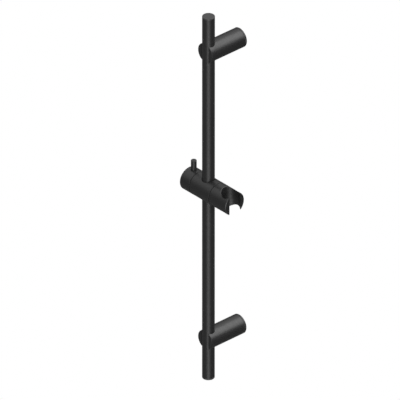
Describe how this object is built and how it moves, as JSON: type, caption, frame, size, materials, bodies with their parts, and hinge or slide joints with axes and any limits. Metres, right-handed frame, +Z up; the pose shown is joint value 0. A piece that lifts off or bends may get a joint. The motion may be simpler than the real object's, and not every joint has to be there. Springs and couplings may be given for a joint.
{
  "type": "shower slide rail",
  "caption": "Round wall-mounted shower rail on turned posts, with a sliding barrel that clamps by a lever knob and holds a hand shower in an open, tilting socket.",
  "frame": {"origin": "on the wall plane, midway between the two wall screw holes", "axes": "+Z up along the rail, +Y towards the wall, +X to the right of a person facing the wall"},
  "size_m": [0.1066, 0.0852, 0.66],
  "materials": {
    "coated_metal": "fine matt black coating",
    "cap_plastic": "matt moulded black",
    "sliding_plastic": "smooth black acetal",
    "screw_steel": "stainless, machined",
    "seal_rubber": "moulded"
  },
  "bodies": {
    "rail": {"rail_tube": "coated_metal", "top_end_cap": "cap_plastic", "bottom_end_cap": "cap_plastic", "upper_bracket_post": "coated_metal", "lower_bracket_post": "coated_metal", "upper_wall_base": "coated_metal", "lower_wall_base": "coated_metal", "upper_rail_screw": "screw_steel", "lower_rail_screw": "screw_steel", "upper_base_screw": "screw_steel", "lower_base_screw": "screw_steel"},
    "bushes": {"upper_guide_bush": "sliding_plastic", "lower_guide_bush": "sliding_plastic"},
    "slider": {"slider_body": "coated_metal", "holder_retaining_screw": "screw_steel"},
    "brake": {"brake_shoe": "sliding_plastic"},
    "knob": {"clamp_spindle": "screw_steel", "clamp_knob": "coated_metal", "knob_pin": "coated_metal"},
    "holder": {"handset_holder": "coated_metal", "friction_washer": "sliding_plastic", "holder_o_ring": "seal_rubber"}
  },
  "joints": [
    {"name": "slider_travel", "type": "slide", "parent": "rail", "child": "bushes", "axis": [0, 0, 1], "range_m": [-0.2374, 0.195]},
    {"name": "slider_swivel", "type": "hinge", "parent": "bushes", "child": "slider", "pos_m": [0, -0.0655, 0.0126], "axis": [0, 0, 1], "continuous": true},
    {"name": "brake_feed", "type": "slide", "parent": "slider", "child": "brake", "axis": [-1, 0, 0], "range_m": [0, 0.00032]},
    {"name": "knob_turn", "type": "hinge", "parent": "brake", "child": "knob", "pos_m": [-0.0342, -0.0655, 0.0126], "axis": [-1, 0, 0], "range_deg": [0, 90]},
    {"name": "holder_tilt", "type": "hinge", "parent": "slider", "child": "holder", "pos_m": [0.0215, -0.0655, 0.0126], "axis": [1, 0, 0], "continuous": true}
  ],
  "couplings": [
    {"joint": "brake_feed", "follows": "knob_turn", "m_per_rad": 0.00019894}
  ]
}
